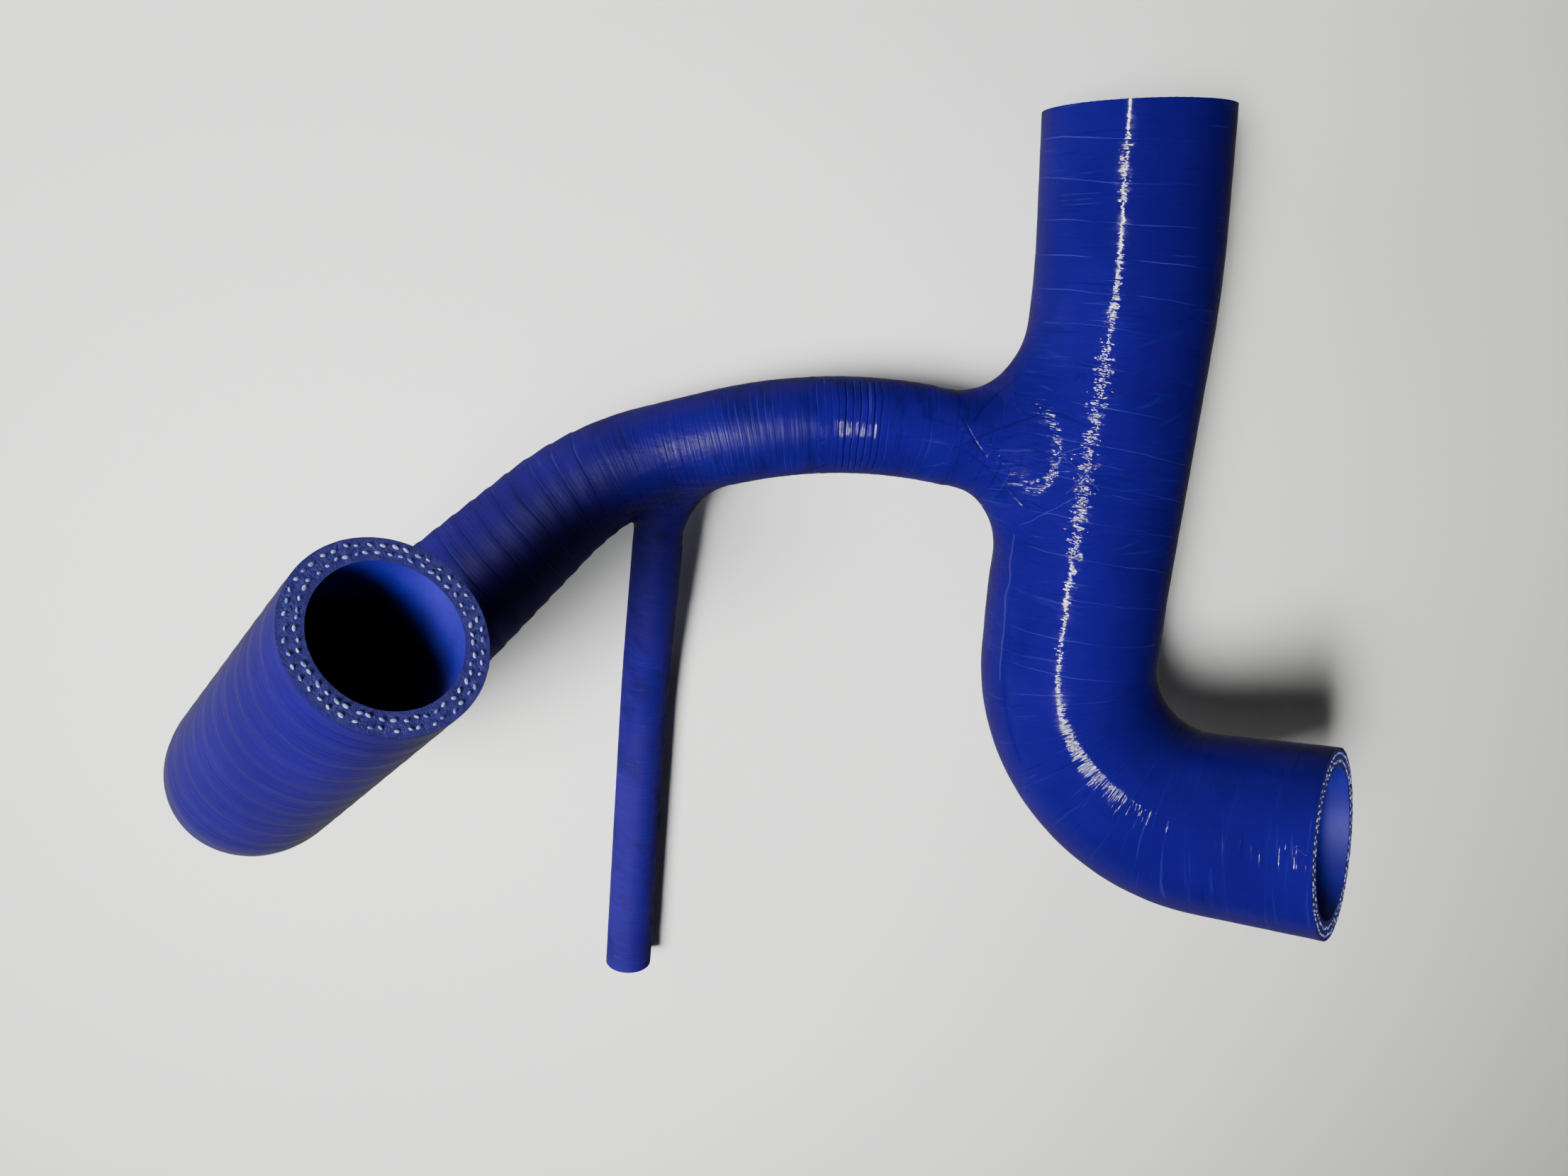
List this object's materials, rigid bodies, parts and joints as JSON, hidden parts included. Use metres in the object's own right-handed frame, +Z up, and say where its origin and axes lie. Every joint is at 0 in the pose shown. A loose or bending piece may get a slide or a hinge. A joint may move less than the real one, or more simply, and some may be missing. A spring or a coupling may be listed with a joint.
{
  "type": "breather hose",
  "caption": "Rigid-moulded blue silicone breather hose: wide elbowed main hose, narrow side branch that turns up into an upright leg, and a thin vacuum leg.",
  "frame": {"origin": "middle of the bounding box's underside, on the surface the hose lies on", "axes": "+Y along the main hose's straight end run, out of its cut; +X across toward the elbow's mouth; +Z up"},
  "size_m": [0.244, 0.205, 0.1181],
  "materials": {
    "blue_silicone": "glossy tape-wrapped silicone with woven reinforcement seen at the cut ends"
  },
  "bodies": {
    "root": {"breather_hose": "blue_silicone"}
  },
  "joints": []
}
